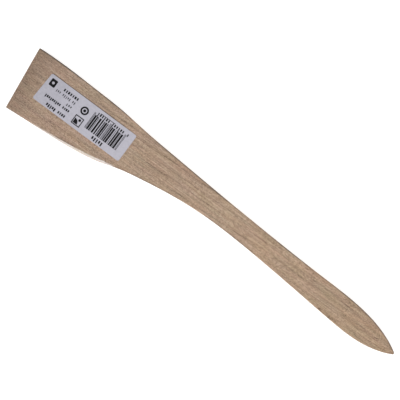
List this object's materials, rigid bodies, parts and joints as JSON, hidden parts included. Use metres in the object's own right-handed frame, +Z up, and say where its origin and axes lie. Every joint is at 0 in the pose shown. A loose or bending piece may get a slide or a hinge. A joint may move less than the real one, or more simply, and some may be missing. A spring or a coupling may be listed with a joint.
{
  "type": "clay modeling tool",
  "caption": "Flat wooden clay modelling tool with a square paddle at one end, a narrow waist and a pointed leaf at the other, carrying a printed paper label.",
  "frame": {"origin": "under the middle of the bounding box, on the flat underside that the tool rests on", "axes": "+X along the tool from the square paddle end to the leaf's tip, +Y across it towards the straighter back edge, +Z up out of the labelled face"},
  "size_m": [0.3, 0.0444, 0.0072],
  "materials": {
    "beech": "bare sanded beech, matte",
    "adhesive": "dried pressure-sensitive glue",
    "label_paper": "smooth matte label paper",
    "ink": "thermal-transfer print, satin"
  },
  "bodies": {
    "root": {"wooden_body": "beech", "label_adhesive": "adhesive", "label_paper": "label_paper", "label_bars": "ink", "label_small_print": "ink", "label_symbols": "ink"}
  },
  "joints": []
}
